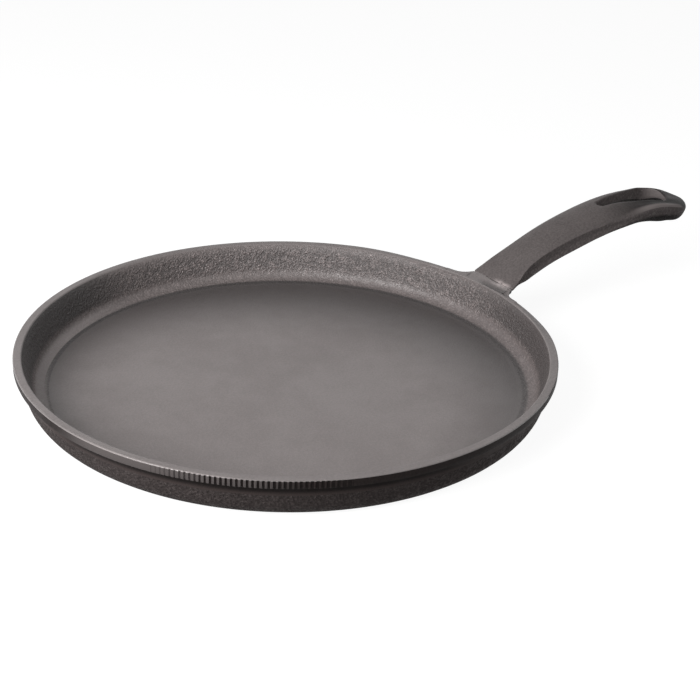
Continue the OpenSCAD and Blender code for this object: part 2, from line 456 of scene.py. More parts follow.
def shape_pan(bm):
    """Carries the turned shape over into the cast and worn one."""
    inner_r = RIM_R - RIM_W
    for v in bm.verts:
        r = math.hypot(v.co.x, v.co.y)
        z = v.co.z
        turn = bearing(v.co)
        if z < SHAPED_FROM:
            continue
        share = rim_share(r, z)
        from_edge = max(0.0, r - inner_r) if z > PAN_H - 0.2 else PAN_H - z
        soft = 0.0
        if share < 1.0 and from_edge < EDGE_REACH:
            soft = soft_edge(turn) * (1.0 - from_edge / EDGE_REACH) ** 2
        new_r = neck_r(r, z, turn, share) + soft - chatter_cut(r, z, turn)
        x = new_r * math.cos(math.radians(turn))
        o = new_r * math.sin(math.radians(turn))
        v.co = (x, o, z - soft - rim_drop(x, o, z, turn, share))


# Finishes of the pan's faces, in the order of its materials
GROUND_FLOOR, CAST_INSIDE, GROUND_RIM, CAST_OUTSIDE, TURNED_BAND, GROOVE_SHADE, RIM_EDGE, BAND_SHADOW_STRIP = range(8)
# Stretch of the rim's outer edge that has its own finish, in degrees from the handle
EDGE_FROM = 140.0
EDGE_TO = 300.0


def pan_finish(middle):
    """Finish of a face of the turned shape, by its middle."""
    r = math.hypot(middle.x, middle.y)
    at_edge = r > RIM_R - 0.45 and EDGE_FROM < bearing(middle) % 360.0 < EDGE_TO
    if at_edge and middle.z > PAN_H - 0.4:
        return RIM_EDGE
    if middle.z > PAN_H - 0.3:
        return GROUND_RIM
    # on the band, the grooves take a finish painted near black as the shade in them
    if r > RIM_R - 0.4 and middle.z > BAND_LOW:
        return GROOVE_SHADE if in_groove(bearing(middle)) else TURNED_BAND
    if r < inner_wall_r(middle.z) + WALL_SPLIT and middle.z > FLOOR_T - 0.1:
        return GROUND_FLOOR if middle.z < FLOOR_T + 0.7 * FLOOR_STEP else CAST_INSIDE
    # the strip under the band takes the finish that holds the painted shadow under the band's front
    if r > RIM_R - BAND_STEP - FOOT_H / 2 and middle.z > BAND_LOW - FOOT_H:
        return BAND_SHADOW_STRIP
    return CAST_OUTSIDE


def paint_pan(bm):
    for face in bm.faces:
        face.material_index = pan_finish(face.calc_center_median())


def make_pan(materials):
    bm = turned_pan()
    paint_pan(bm)
    shape_pan(bm)
    piece = new_object("comal_pan", bm, materials)
    shade(piece, 40)
    dress(piece, "pan")


# Handle

SHEET_START = 62.0
CROSS_COUNT = 12
SIDE_COUNT = 20
TIP_COUNT = 28
# Share of the way from the outline to the slot at which each ring lies
RINGS = [0.22, 0.4, 0.56, 0.7, 1.0]
RING_COUNT = len(RINGS)
ROOT_COUNT = 26
# Exponent that draws the rows together towards the joint
ROW_EASE = 1.25
# Layers of the handle's points
UNDERSIDE, SIDE, TOP = 0, 1, 2
# Widest rounding of the handle's edges; each edge takes a share of it
ROUND_MAX = 3.0
# How far the near side leans in towards its top edge, and how deep the sides are scooped
SIDE_LEAN = 0.8
SCOOP = 0.7
# How far the sides draw in under the grip's end, and how much deeper they hang there
UNDERCUT = 3.0
END_DROP = 4.4
# That drop fades out at this share of the way in from the outline
DROP_REACH = 0.56
DROP_OFFSET = 0.786
# How much deeper the sides hang than the plain section, by the waist and along the grip
SIDE_DROP = (2.1, -0.75)
# Dish of the grip beside the slot: on the near side, and on the far one at its start and at its end
NEAR_DISH = 1.6
FAR_DISH = (0.55, -0.4)
# Bead along the grip's near edge
BEAD_H = 1.2
# How far the near half of the root is ground down to the neck
ROOT_GROUND = 0.9
# Finishes of the handle's faces, in the order of its materials
HANDLE_TOP, HANDLE_CAST, SLOT_ROUND, HANDLE_UNDER_SHADE = range(4)


def sheet_loops():
    """Matching plan points round the outline of the grip and round the hang slot."""
    narrow_s = SLOT_START + SLOT_NARROW_R
    wide_s = SLOT_END - SLOT_WIDE_R
    lean = math.asin((SLOT_WIDE_R - SLOT_NARROW_R) / (wide_s - narrow_s))
    quarter = math.pi / 2 + lean
    tip_s = HANDLE_LEN - TIP_LEN

    def on_circle(s, r, angle):
        return (s + r * math.cos(angle), r * math.sin(angle))

    outer, inner = [], []
    for i in range(CROSS_COUNT):
        t = i / CROSS_COUNT
        outer.append((SHEET_START, half_w(SHEET_START) * (1.0 - 2.0 * t)))
        inner.append(on_circle(narrow_s, SLOT_NARROW_R, between(quarter, 2 * math.pi - quarter, t)))
    for side, first, last in ((-1, 0.0, 1.0), (1, 1.0, 0.0)):
        narrow = on_circle(narrow_s, SLOT_NARROW_R, side * quarter)
        wide = on_circle(wide_s, SLOT_WIDE_R, side * quarter)
        for i in range(SIDE_COUNT):
            t = between(first, last, i / SIDE_COUNT)
            s = between(SHEET_START, tip_s, t)
            outer.append((s, side * half_w(s)))
            inner.append(tuple(between(a, b, t) for a, b in zip(narrow, wide)))
        if side < 0:
            for i in range(TIP_COUNT):
                t = i / TIP_COUNT
                angle = math.pi * (t - 0.5)
                outer.append((tip_s + TIP_LEN * math.cos(angle), GRIP_HALF_W * math.sin(angle)))
                inner.append(on_circle(wide_s, SLOT_WIDE_R, between(-quarter, quarter, t)))
    return outer, inner


def handle_sheet(bm):
    """Flat plan of the handle as quads: rings round the slot, then rows back to the joint."""
    at = bm.verts.layers.int.new("at")
    ring = bm.verts.layers.int.new("ring")
    level = bm.verts.layers.int.new("level")
    outer, inner = sheet_loops()
    count = len(outer)
    verts = []
    for i, (s, o) in enumerate(outer):
        v = bm.verts.new((s, o, 0.0))
        v[at] = i
        verts.append(v)
    edges = [bm.edges.new((verts[i], verts[(i + 1) % count])) for i in range(count)]
    row = edges[:CROSS_COUNT]
    for j in range(1, RING_COUNT + 1):
        edges, fresh = pull(bm, edges)
        for v in fresh:
            a, b = outer[v[at]], inner[v[at]]
            t = RINGS[j - 1]
            v.co = (between(a[0], b[0], t), between(a[1], b[1], t), 0.0)
            v[ring] = j
    for j in range(1, ROOT_COUNT + 1):
        s = SHEET_START * (1.0 - j / ROOT_COUNT) ** ROW_EASE
        row, fresh = pull(bm, row)
        for v in fresh:
            v.co = (s, outer[v[at]][1] / half_w(SHEET_START) * half_w(s), 0.0)
            v[ring] = -1 if j == ROOT_COUNT else 0
    return ring, level


def pull(bm, edges):
    """Extrudes a line of edges, and gives the new line and its points."""
    made = bmesh.ops.extrude_edge_only(bm, edges=edges)["geom"]
    fresh = [g for g in made if isinstance(g, bmesh.types.BMVert)]
    known = set(fresh)
    line = [g for g in made if isinstance(g, bmesh.types.BMEdge) and known.issuperset(g.verts)]
    return line, fresh


def on_outline(s, o):
    return abs(o) > half_w(s) - 0.01


def grip_relief(s, o, inward):
    """The grip's top beside the slot: dished on the near side, raised on the far one, with a near bead.

    inward runs from 0 at the outline to 1 at the slot.
    """
    far = smooth((o + 4.0) / 8.0)
    far_dish = between(*FAR_DISH, smooth((s - 106.0) / 14.0))
    dish = between(NEAR_DISH, far_dish, far) * smooth((s - 82.0) / 22.0)
    bead = BEAD_H * (1.0 - smooth((inward - 0.22) / 0.4)) * smooth((s - 80.0) / 35.0) * (o < 0)
    bead *= 1.0 - smooth((s - 118.0) / 22.0)
    return bead - dish * smooth((inward - 0.2) / 0.6)


def drawn_in(s, o, amount):
    """A plan point moved in towards the slot's middle line."""
    end_s = SLOT_END - SLOT_WIDE_R
    ahead = max(0.0, s - end_s)
    reach = max(math.hypot(ahead, o), 0.01)
    return s - amount * ahead / reach, o - amount * o / reach


def place_handle(bm, ring, level):
    """Lifts the plan's two layers onto the handle's top and underside."""
    for v in bm.verts:
        s, o = v.co.x, v.co.y
        on_top = v[level] == TOP
        edge = on_outline(s, o)
        surface = top_z if on_top else under_z
        shift = joint_s(surface, o) * (1.0 - smooth(s / BELLY_END))
        z = surface(s + shift, o)
        if on_top:
            # the near edge is rounded over beside the joint, and stands a little proud beyond
            over, proud = (1.6, 0.6) if o < 0 else (0.3, 0.0)
            z += edge * between(-over, proud, smooth((s - 5.0) / 6.0))
            z += grip_relief(s, o, RINGS[v[ring] - 1] if v[ring] > 0 else 0.0)
            o += edge * SIDE_LEAN * window(s, 8.0, 10.0, 70.0, 30.0) * (o < 0)
            z -= ROOT_GROUND * (1.0 - min(1.0, s / 2.8)) * smooth((2.0 - o) / 5.0) * (not edge)
        else:
            outward = 1.0 - (RINGS[v[ring] - 1] if v[ring] > 0 else 1.0 - edge)
            z -= edge * between(*SIDE_DROP, smooth((s - 42.0) / 45.0)) * smooth((s - 3.0) / 10.0)
            drop = 1.0 - 0.3 * smooth((s - 112.0) / 14.0) - 0.4 * smooth((s - 130.0) / 15.0)
            z -= END_DROP * drop * smooth((s - 92.0) / 28.0) * max(0.0, outward / DROP_REACH - DROP_OFFSET)
            o *= 1.0 - EDGE_DRAFT / GRIP_HALF_W * (o > 0)
            s, o = drawn_in(s, o, UNDERCUT * smooth((s - 80.0) / 35.0) * outward)
        s += shift
        if v[ring] < 0:
            s = JOINT_GAP - z * math.tan(JOINT_LEAN)
        v.co = (JOINT_R + s, o, PAN_H + z)


def rounding(edge, on_top, ring):
    """Radius of an edge between the handle's top or underside and its walls."""
    middle = (edge.verts[0].co + edge.verts[1].co) / 2
    if all(v[ring] == RING_COUNT for v in edge.verts):
        return 2.0 if on_top and middle.y < 0 else 1.0
    if all(v[ring] < 0 for v in edge.verts):
        return 0.3
    s = middle.x - JOINT_R
    if not on_top:
        return between(0.2, 1.5, smooth((s - 6.0) / 16.0)) + 1.5 * smooth((s - 90.0) / 40.0)
    return between(0.25, 2.2, smooth((s - 60.0) / 50.0)) if middle.y < 0 else 0.4


def scoop_sides(bm, ring, level):
    """Hollows the handle's sides along their middle."""
    on_side = [e for e in bm.edges if all(v[ring] == 0 for v in e.verts)]
    uprights = [e for e in on_side if e.verts[0][level] != e.verts[1][level]]
    made = bmesh.ops.subdivide_edges(bm, edges=uprights, cuts=1)["geom_inner"]
    for v in made:
        if isinstance(v, bmesh.types.BMVert):
            s = v.co.x - JOINT_R
            depth = SCOOP * window(s, 10.0, 8.0, 70.0, 30.0)
            v.co.y -= math.copysign(depth, v.co.y)
            v[level] = SIDE


def handle_body():
    """The handle's solid before rounding, with the rounding of its edges as their bevel weight."""
    bm = bmesh.new()
    ring, level = handle_sheet(bm)
    made = bmesh.ops.extrude_face_region(bm, geom=bm.faces[:], use_keep_orig=True)["geom"]
    for v in made:
        if isinstance(v, bmesh.types.BMVert):
            v[level] = TOP
    place_handle(bm, ring, level)
    scoop_sides(bm, ring, level)
    bmesh.ops.recalc_face_normals(bm, faces=bm.faces)
    weight = bm.edges.layers.float.new("bevel_weight_edge")
    for edge in bm.edges:
        here, there = (v[level] for v in edge.verts)
        walls = [f for f in edge.link_faces if len({v[level] for v in f.verts}) > 1]
        if here == there != SIDE and len(walls) == 1:
            edge[weight] = rounding(edge, here == TOP, ring) / ROUND_MAX
    slot_end = JOINT_R + SLOT_END - 0.8 * SLOT_WIDE_R
    for face in bm.faces:
        on_slot = all(v[ring] == RING_COUNT for v in face.verts)
        if all(v[level] == TOP for v in face.verts):
            face.material_index = HANDLE_TOP
        # the underside takes a finish painted near black as the shade under the handle
        elif all(v[level] == UNDERSIDE for v in face.verts):
            face.material_index = HANDLE_UNDER_SHADE
        elif on_slot and face.calc_center_median().x > slot_end:
            face.material_index = SLOT_ROUND
        else:
            face.material_index = HANDLE_CAST
    return bm


def pocket_cutter():
    """The screw's bore and the pocket for its head and washer."""
    bore_r = BOLT_D / 2 + BOLT_CLEARANCE
    start = -2.0
    outline = [(0.0, start), (bore_r, start), (bore_r, BLOCK_LEN), (POCKET_D / 2, BLOCK_LEN)]
    outline += [(POCKET_D / 2, BELLY_END), (0.0, BELLY_END)]
    bm = turned(outline, 48)
    bmesh.ops.transform(bm, matrix=bolt_place(0.0), verts=bm.verts)
    # the pocket's walls take the underside's finish, painted near black as shade
    for face in bm.faces:
        face.material_index = HANDLE_UNDER_SHADE
    return bm


def make_handle(materials):
    piece = new_object("comal_handle", handle_body(), materials)
    edges = piece.modifiers.new("edges", "BEVEL")
    edges.limit_method = "WEIGHT"
    edges.width = ROUND_MAX * MM
    edges.segments = 3
    edges.use_clamp_overlap = False
    round_off = piece.modifiers.new("round_off", "SUBSURF")
    round_off.levels = 2
    round_off.render_levels = 2
    apply_modifiers(piece)
    cutter = new_object("pocket_cutter", pocket_cutter(), materials)
    cut = piece.modifiers.new("pocket", "BOOLEAN")
    cut.object = cutter
    cut.operation = "DIFFERENCE"
    cut.solver = "EXACT"
    apply_modifiers(piece)
    bpy.data.objects.remove(cutter)
    shade(piece, 50)
    dress(piece, "handle")


# Screw and washer


def hexagon_r(turn):
    """Radius of the socket's hexagon at an angle."""
    side = math.pi / 3
    return SOCKET_AF / 2 / math.cos((turn + side / 2) % side - side / 2)


def make_bolt(material):
    head_z = BOLT_LEN
    top = head_z + HEAD_H
    root_r = BOLT_D / 2 - 0.6 * BOLT_PITCH
    outline = [(0.0, 0.0), (root_r - 0.2, 0.0)]
    for i in range(int((BOLT_LEN - 2.0) / BOLT_PITCH)):
        outline.append((root_r, 0.3 + i * BOLT_PITCH))
        outline.append((BOLT_D / 2 - 0.02, 0.3 + (i + 0.5) * BOLT_PITCH))
    outline += [(BOLT_D / 2 - 0.02, head_z), (HEAD_D / 2 - 0.15, head_z), (HEAD_D / 2, head_z + 0.15)]
    outline += [(HEAD_D / 2, top - 0.7), (HEAD_D / 2 - 0.15, top - 0.55), (HEAD_D / 2 - 0.6, top - 0.05)]
    outline += [(HEAD_D / 2 - 0.8, top), (SOCKET_MOUTH_R, top), (SOCKET_R, top - 0.25)]
    outline += [(SOCKET_R, top - SOCKET_DEPTH), (0.0, top - SOCKET_DEPTH - 0.4)]
    bm = turned(outline, 72)
    for v in bm.verts:
        r = math.hypot(v.co.x, v.co.y)
        turn = math.atan2(v.co.y, v.co.x)
        if abs(r - SOCKET_R) < 0.01 and v.co.z > head_z:
            v.co.x *= hexagon_r(turn) / r
            v.co.y *= hexagon_r(turn) / r
        elif r > HEAD_D / 2 - 0.01 and round(turn / KNURL_STEP) % 2:
            v.co.x *= 1.0 - KNURL_DEPTH / r
            v.co.y *= 1.0 - KNURL_DEPTH / r
    bmesh.ops.transform(bm, matrix=bolt_place(BLOCK_LEN + WASHER_T - BOLT_LEN), verts=bm.verts)
    piece = new_object("comal_handle_bolt", bm, [material])
    shade(piece, 30)
    dress(piece, "handle_bolt")


def make_washer(material):
    inner_r = BOLT_D / 2 + 0.06
    outer_r = WASHER_D / 2
    edge = 0.15
    outline = [(inner_r, edge), (inner_r + edge, 0.0), (outer_r - edge, 0.0), (outer_r, edge)]
    outline += [(outer_r, WASHER_T - edge), (outer_r - edge, WASHER_T)]
    outline += [(inner_r + edge, WASHER_T), (inner_r, WASHER_T - edge), (inner_r, edge)]
    gap = WASHER_SPLIT / ((inner_r + outer_r) / 2)
    bm = bmesh.new()
    geom = chain(bm, outline)
    bmesh.ops.rotate(bm, verts=bm.verts, cent=(0, 0, 0), matrix=Matrix.Rotation(gap / 2, 3, "Z"))
    bmesh.ops.spin(bm, geom=geom, cent=(0, 0, 0), axis=(0, 0, 1), angle=2 * math.pi - gap, steps=64)
    bmesh.ops.remove_doubles(bm, verts=bm.verts, dist=0.001)
    bmesh.ops.holes_fill(bm, edges=[e for e in bm.edges if e.is_boundary], sides=0)
    bmesh.ops.recalc_face_normals(bm, faces=bm.faces)
    bmesh.ops.transform(bm, matrix=bolt_place(BLOCK_LEN), verts=bm.verts)
    piece = new_object("comal_lock_washer", bm, [material])
    shade(piece, 30)
    dress(piece, "lock_washer")


# Finishes

# Tones of the painted shade in the cast skin's pits and of the painted glints on its bright points, as
# shares of the iron's own
PIT_SHADE_TONE = 0.35
GLINT_TONE = 2.0
# How much rougher the pits are, and how much smoother the fillet is than the wall
PIT_ROUGHER = 0.12
FILLET_SMOOTHER = 0.03
# Strength of the grain on the fillet and by the rim
CALM_GRAIN = 0.45
# Scale of the ground iron's tooth, and how far its stains raise and lower the roughness
TOOTH_SCALE = 1500.0
STAIN_ROUGHER = 0.06
STAIN_SMOOTHER = 0.04
# How far a step of warmth lifts red and lowers blue
WARM_RED = 0.14
WARM_BLUE = 0.02


def gray(level, warmth=1.0):
    """A warm tone of iron."""
    return (level * (1.0 + WARM_RED * warmth), level, level * (1.0 - WARM_BLUE * warmth), 1.0)


def scaled(color, share):
    return tuple(share * c for c in color[:3]) + (1.0,)


def mm(*values):
    """Millimetres as the metres that materials read."""
    return [v * MM for v in values]


def from_joint(*distances):
    """X of places on the handle at distances from the joint, in metres."""
    return mm(*(JOINT_R + s for s in distances))


def add(kind, inputs, **settings):
    """Adds a node where its inputs are: they are sockets to link from, at least one, or values to set."""
    tree = next(value.id_data for value in inputs.values() if isinstance(value, bpy.types.NodeSocket))
    node = tree.nodes.new(kind)
    for name, value in settings.items():
        setattr(node, name, value)
    for name, value in inputs.items():
        if isinstance(value, bpy.types.NodeSocket):
            tree.links.new(value, node.inputs[name])
        else:
            node.inputs[name].default_value = value
    return node


def math_node(operation, a, b=0.0):
    return add("ShaderNodeMath", {0: a, 1: b}, operation=operation).outputs[0]


def vector_node(operation, a, b=(0, 0, 0)):
    return add("ShaderNodeVectorMath", {0: a, 1: b}, operation=operation).outputs


def both(a, b):
    """Product of two masks, or of a mask and a share."""
    return math_node("MULTIPLY", a, b)


def weighted(parts):
    """Sum of values, each times its weight."""
    total = both(*parts[0])
    for part in parts[1:]:
        total = math_node("ADD", total, both(*part))
    return total


def remap(value, low, high, new_low=0.0, new_high=1.0):
    """Carries a value from one range to another with soft ends."""
    inputs = {"Value": value, "From Min": low, "From Max": high, "To Min": new_low, "To Max": new_high}
    return add("ShaderNodeMapRange", inputs, interpolation_type="SMOOTHSTEP").outputs["Result"]


def span(value, rise, fall):
    """Mask that rises over one range of a value and falls over another."""
    return both(remap(value, *rise), remap(value, *fall))


def noise_node(vector, scale, detail=2.0, roughness=0.5):
    inputs = {"Vector": vector, "Scale": scale, "Detail": detail, "Roughness": roughness}
    return add("ShaderNodeTexNoise", inputs).outputs["Fac"]


def axes_of(place):
    return add("ShaderNodeSeparateXYZ", {0: place}).outputs


def toned(color, share, tone):
    """A colour carried towards another tone by a varying share."""
    return add("ShaderNodeMix", {0: share, 6: color, 7: tone}, data_type="RGBA").outputs[2]


# Effects that several finishes share


def new_group(name, sockets_in, sockets_out):
    tree = bpy.data.node_groups.new(name, "ShaderNodeTree")
    for socket, kind in sockets_in:
        tree.interface.new_socket(name=socket, in_out="INPUT", socket_type="NodeSocket" + kind)
    for socket, kind in sockets_out:
        tree.interface.new_socket(name=socket, in_out="OUTPUT", socket_type="NodeSocket" + kind)
    return tree, tree.nodes.new("NodeGroupInput").outputs, tree.nodes.new("NodeGroupOutput").inputs


def place_group(group, inputs):
    return add("ShaderNodeGroup", inputs, node_tree=group).outputs


def sand_grain_group():
    """Crumbly skin of a sand casting: its height, and masks of the grains' tops and bright points."""
    tree, given, result = new_group(
        "sand_grain", [("Vector", "Vector"), ("Scale", "Float")],
        [("Height", "Float"), ("Tops", "Float"), ("Glints", "Float")])
    vector, scale = given["Vector"], given["Scale"]
    fine = noise_node(vector, scale, detail=3.0, roughness=0.6)
    broad = noise_node(vector, both(scale, 0.4))
    crumbs = add("ShaderNodeTexVoronoi", {"Vector": vector, "Scale": scale, "Smoothness": 0.6},
                 feature="SMOOTH_F1").outputs["Distance"]
    height = weighted([(fine, 0.7), (broad, 0.5), (crumbs, -0.35)])
    tree.links.new(height, result["Height"])
    tree.links.new(remap(height, 0.36, 0.54), result["Tops"])
    tree.links.new(remap(height, 0.55, 0.68), result["Glints"])
    return tree


def iron_tone_group():
    """Seasoned iron's uneven tone, from faint broad stains down to fine specks."""
    tree, given, result = new_group(
        "iron_tone", [("Vector", "Vector"), ("Dark", "Color"), ("Light", "Color")],
        [("Color", "Color"), ("Stain", "Float")])
    vector = given["Vector"]
    broad = noise_node(vector, 16.0)
    patch = noise_node(vector, 85.0, detail=3.0)
    speck = noise_node(vector, 900.0)
    stain = weighted([(broad, 0.25), (patch, 0.2)])
    mixed = math_node("ADD", stain, both(speck, 0.55))
    tone = toned(given["Dark"], remap(mixed, 0.3, 0.7), given["Light"])
    tree.links.new(tone, result["Color"])
    tree.links.new(remap(stain, 0.14, 0.31), result["Stain"])
    return tree


def pit_shade_and_glint_group():
    """A cast skin's colour with painted shade in its pits and painted glints on its bright points."""
    tree, given, result = new_group(
        "pits", [("Color", "Color"), ("Pit", "Color"), ("Glint", "Color"),
                 ("Tops", "Float"), ("Glints", "Float"), ("Strength", "Float")],
        [("Color", "Color")])
    deep = math_node("SUBTRACT", 1.0, given["Tops"])
    color = toned(given["Color"], both(deep, given["Strength"]), given["Pit"])
    color = toned(color, both(given["Glints"], given["Strength"]), given["Glint"])
    tree.links.new(color, result["Color"])
    return tree


def floor_edge_shade_group():
    """Mask of painted shade and painted dark reflection at the floor's edge, widest away from the front."""
    tree, given, result = new_group("floor_edge_shade", [("Vector", "Vector")], [("Mask", "Float")])
    axes = axes_of(given["Vector"])
    flat = vector_node("MULTIPLY", given["Vector"], (1, 1, 0))["Vector"]
    clean_middle = on_view_axes(*mm(-12.0, -32.0, 0.0))
    ring = remap(vector_node("DISTANCE", flat, clean_middle)["Value"], *mm(75.0, 140.0))
    foot_z = FLOOR_T + FLOOR_STEP
    low = remap(axes["Z"], *mm(foot_z + 0.02, foot_z + 0.4), 1.0, 0.0)
    tree.links.new(both(both(ring, low), 0.95), result["Mask"])
    return tree


def sector_group():
    """Mask of a sector of the pan about Axis, from the cosine Reach on and full from the cosine Core on."""
    tree, given, result = new_group(
        "sector", [("Vector", "Vector"), ("Axis", "Vector"), ("Reach", "Float"), ("Core", "Float")],
        [("Mask", "Float")])
    flat = vector_node("MULTIPLY", given["Vector"], (1, 1, 0))["Vector"]
    turn = vector_node("NORMALIZE", flat)["Vector"]
    toward = vector_node("DOT_PRODUCT", turn, given["Axis"])["Value"]
    tree.links.new(remap(toward, given["Reach"], given["Core"]), result["Mask"])
    return tree


def bare_spot_group():
    """Mask of the spot on the near half of the joint that was ground bright."""
    tree, given, result = new_group("bare_spot", [("Vector", "Vector")], [("Mask", "Float")])
    axes = axes_of(given["Vector"])
    along = span(axes["Y"], mm(-14.5, -10.0), mm(1.0, -6.0))
    across = span(axes["X"], mm(131.0, 132.8), mm(136.5, 134.5))
    broken = remap(noise_node(given["Vector"], 600.0, detail=3.0), 0.2, 0.62)
    tree.links.new(both(both(along, across), broken), result["Mask"])
    return tree


GRAIN = sand_grain_group()
TONE = iron_tone_group()
PIT_SHADE_AND_GLINT = pit_shade_and_glint_group()
SECTOR = sector_group()


# Masks of the marks on the iron


def from_group(group):
    """A mask that is a shared group's own."""
    return lambda place: place_group(group, {"Vector": place})["Mask"]


# painted shade and dark reflection at the floor's edge, on the floor and the fillet's foot
floor_edge_shade = from_group(floor_edge_shade_group())
bare_spot = from_group(bare_spot_group())


def sector(place, middle, reach, core):
    """A sector of the pan about a bearing on the view's ground axes, with its half widths, in degrees."""
    turn = math.radians(middle)
    return place_group(SECTOR, {
        "Vector": place,
        "Axis": on_view_axes(math.cos(turn), math.sin(turn), 0.0),
        "Reach": math.cos(math.radians(reach)),
        "Core": math.cos(math.radians(core)),
    })["Mask"]


def grip_end_shade(place):
    """Painted shade on the grip's top beside and beyond the slot, short of its near edge, where the top
    turns away from the light.
    """
    axes = axes_of(place)
    strip = both(remap(axes["X"], *from_joint(65.0, 112.0)), remap(axes["Y"], *mm(-3.0, -8.0)))
    end = remap(axes["X"], *from_joint(104.0, 130.0), 0.0, 0.72)
    off_edge = remap(axes["Y"], *mm(-14.5, -12.5))
    return both(math_node("MAXIMUM", strip, end), off_edge)


def bead_highlight(place):
    """Painted highlight along the bead on the grip's near edge."""
    axes = axes_of(place)
    along = span(axes["X"], from_joint(85.0, 105.0), from_joint(142.0, 130.0))
    return both(along, remap(axes["Y"], *mm(-11.8, -13.8)))


def under_shade(place):
    """Painted shade low on the sides of the grip, which follows the drop of its end."""
    axes = axes_of(place)
    crest_x = (JOINT_R + CREST_AT) * MM
    past = math_node("MAXIMUM", math_node("SUBTRACT", axes["X"], crest_x), 0.0)
    fall = math_node("DIVIDE", both(past, past), 2.0 * DROP_R * MM)
    level = math_node("ADD", axes["Z"], fall)
    edge_z = PAN_H + mid_z(CREST_AT) - GRIP_CROWN
    low = remap(level, *mm(edge_z - 2.2, edge_z - 4.2))
    return both(low, remap(axes["X"], *from_joint(CREST_AT - 22.0, CREST_AT + 2.0)))


def shaded_wall(place):
    """Painted shade on the left and right of the inner wall."""
    right = sector(place, middle=0.0, reach=42.0, core=18.0)
    left = sector(place, middle=180.0, reach=42.0, core=18.0)
    aside = both(math_node("MAXIMUM", right, left), 0.8)
    return both(aside, remap(axes_of(place)["Z"], *mm(8.5, 11.5)))


def left_wall_shade(place):
    """Painted shade on the left of the inner wall: the dull, dark stretch that the lamps hardly reach."""
    left = both(sector(place, middle=175.0, reach=44.0, core=20.0), 0.92)
    return both(left, remap(axes_of(place)["Z"], *mm(7.2, 10.5)))


def fillet_highlight(place):
    """Painted highlight: the bright streak along the left of the fillet."""
    left = sector(place, middle=190.0, reach=58.0, core=18.0)
    return both(left, span(axes_of(place)["Z"], mm(3.8, 3.9), mm(7.4, 5.2)))


def foot_shade_line(place):
    """Painted shade: the thin dark line at the foot of the fillet, round the back."""
    back = sector(place, middle=110.0, reach=85.0, core=60.0)
    return both(back, span(axes_of(place)["Z"], mm(3.66, 3.76), mm(4.02, 3.9)))


def clear_of_band_shadow(place):
    """All but the painted shadow: the dark line under the front of the band."""
    front = sector(place, middle=-95.0, reach=48.0, core=34.0)
    below = remap(axes_of(place)["Z"], *mm(BAND_LOW - 2.0, BAND_LOW - 4.6))
    return math_node("MAXIMUM", math_node("SUBTRACT", 1.0, front), below)


def shallow_start(place):
    """The start of the chatter marks, where the grooves are still faint and take less of the painted shade.
    """
    return both(sector(place, middle=-118.0, reach=15.0, core=2.0), 0.85)


def rim_edge_highlight(place):
    """Painted highlight on the front stretch of the rim's edge."""
    return sector(place, middle=-117.0, reach=24.0, core=10.0)


def scraped_and_highlit_stretch(place):
    """The stretch of the band that the chattering tool left bare, lightened further as a painted highlight.
    """
    return sector(place, middle=-113.0, reach=28.0, core=14.0)


def joint_hollow_shade(place):
    """Painted shade in the hollow between the rim and the joint."""
    axes = axes_of(place)
    across = span(axes["X"], mm(126.2, 129.2), mm(132.8, 130.2))
    along = span(axes["Y"], mm(-19.0, -13.0), mm(8.0, -3.0))
    return both(both(across, along), 0.7)


# Materials


def new_material(name):
    material = bpy.data.materials.new(name)
    material.use_nodes = True
    tree = material.node_tree
    shader = tree.nodes["Principled BSDF"]
    place = tree.nodes.new("ShaderNodeTexCoord").outputs["Object"]
    return material, tree, shader, place


def marked(place, color, marks):
    """A colour with its marks: masks, each with the tone that it brings."""
    for mask, tone in marks:
        color = toned(color, mask(place), tone)
    return color


def finish_shader(tree, shader, color, rough, sheen, height, relief):
    """Gives a shader its colour, roughness, sheen and relief in millimetres."""
    tree.links.new(color, shader.inputs["Base Color"])
    tree.links.new(rough, shader.inputs["Roughness"])
    shader.inputs["Specular IOR Level"].default_value = sheen
    bump = add("ShaderNodeBump", {"Height": height, "Distance": relief * MM})
    tree.links.new(bump.outputs["Normal"], shader.inputs["Normal"])


def cast_finish(name, dark, light, scale, relief, roughness, sheen, contrast, marks=(), inside=False):
    """Rough cast iron, whose pits are set off by contrast: painted shade in the pits and painted glints on
    the grains' tops.

    inside calms the grain on the fillet and by the rim, and leaves the fillet smoother.
    """
    material, tree, shader, place = new_material(name)
    tone = place_group(TONE, {"Vector": place, "Dark": dark, "Light": light})
    grain = place_group(GRAIN, {"Vector": place, "Scale": scale})
    rough = remap(grain["Tops"], 0.0, 1.0, roughness + PIT_ROUGHER, roughness)
    height = grain["Height"]
    strength = contrast
    if inside:
        z = axes_of(place)["Z"]
        wall = remap(z, *mm(5.5, 12.5))
        calm = both(remap(wall, 0.0, 1.0, CALM_GRAIN, 1.0), remap(z, *mm(17.5, 22.0), 1.0, CALM_GRAIN))
        height = both(height, calm)
        strength = both(calm, contrast)
        rough = math_node("SUBTRACT", rough, remap(wall, 0.0, 1.0, FILLET_SMOOTHER, 0.0))
    # painted shade in the pits and painted glints on the grains' tops
    color = place_group(PIT_SHADE_AND_GLINT, {
        "Color": tone["Color"],
        "Pit": scaled(dark, PIT_SHADE_TONE),
        "Glint": scaled(light, GLINT_TONE),
        "Tops": grain["Tops"],
        "Glints": grain["Glints"],
        "Strength": strength,
    })["Color"]
    finish_shader(tree, shader, marked(place, color, marks), rough, sheen, height, relief)
    return material


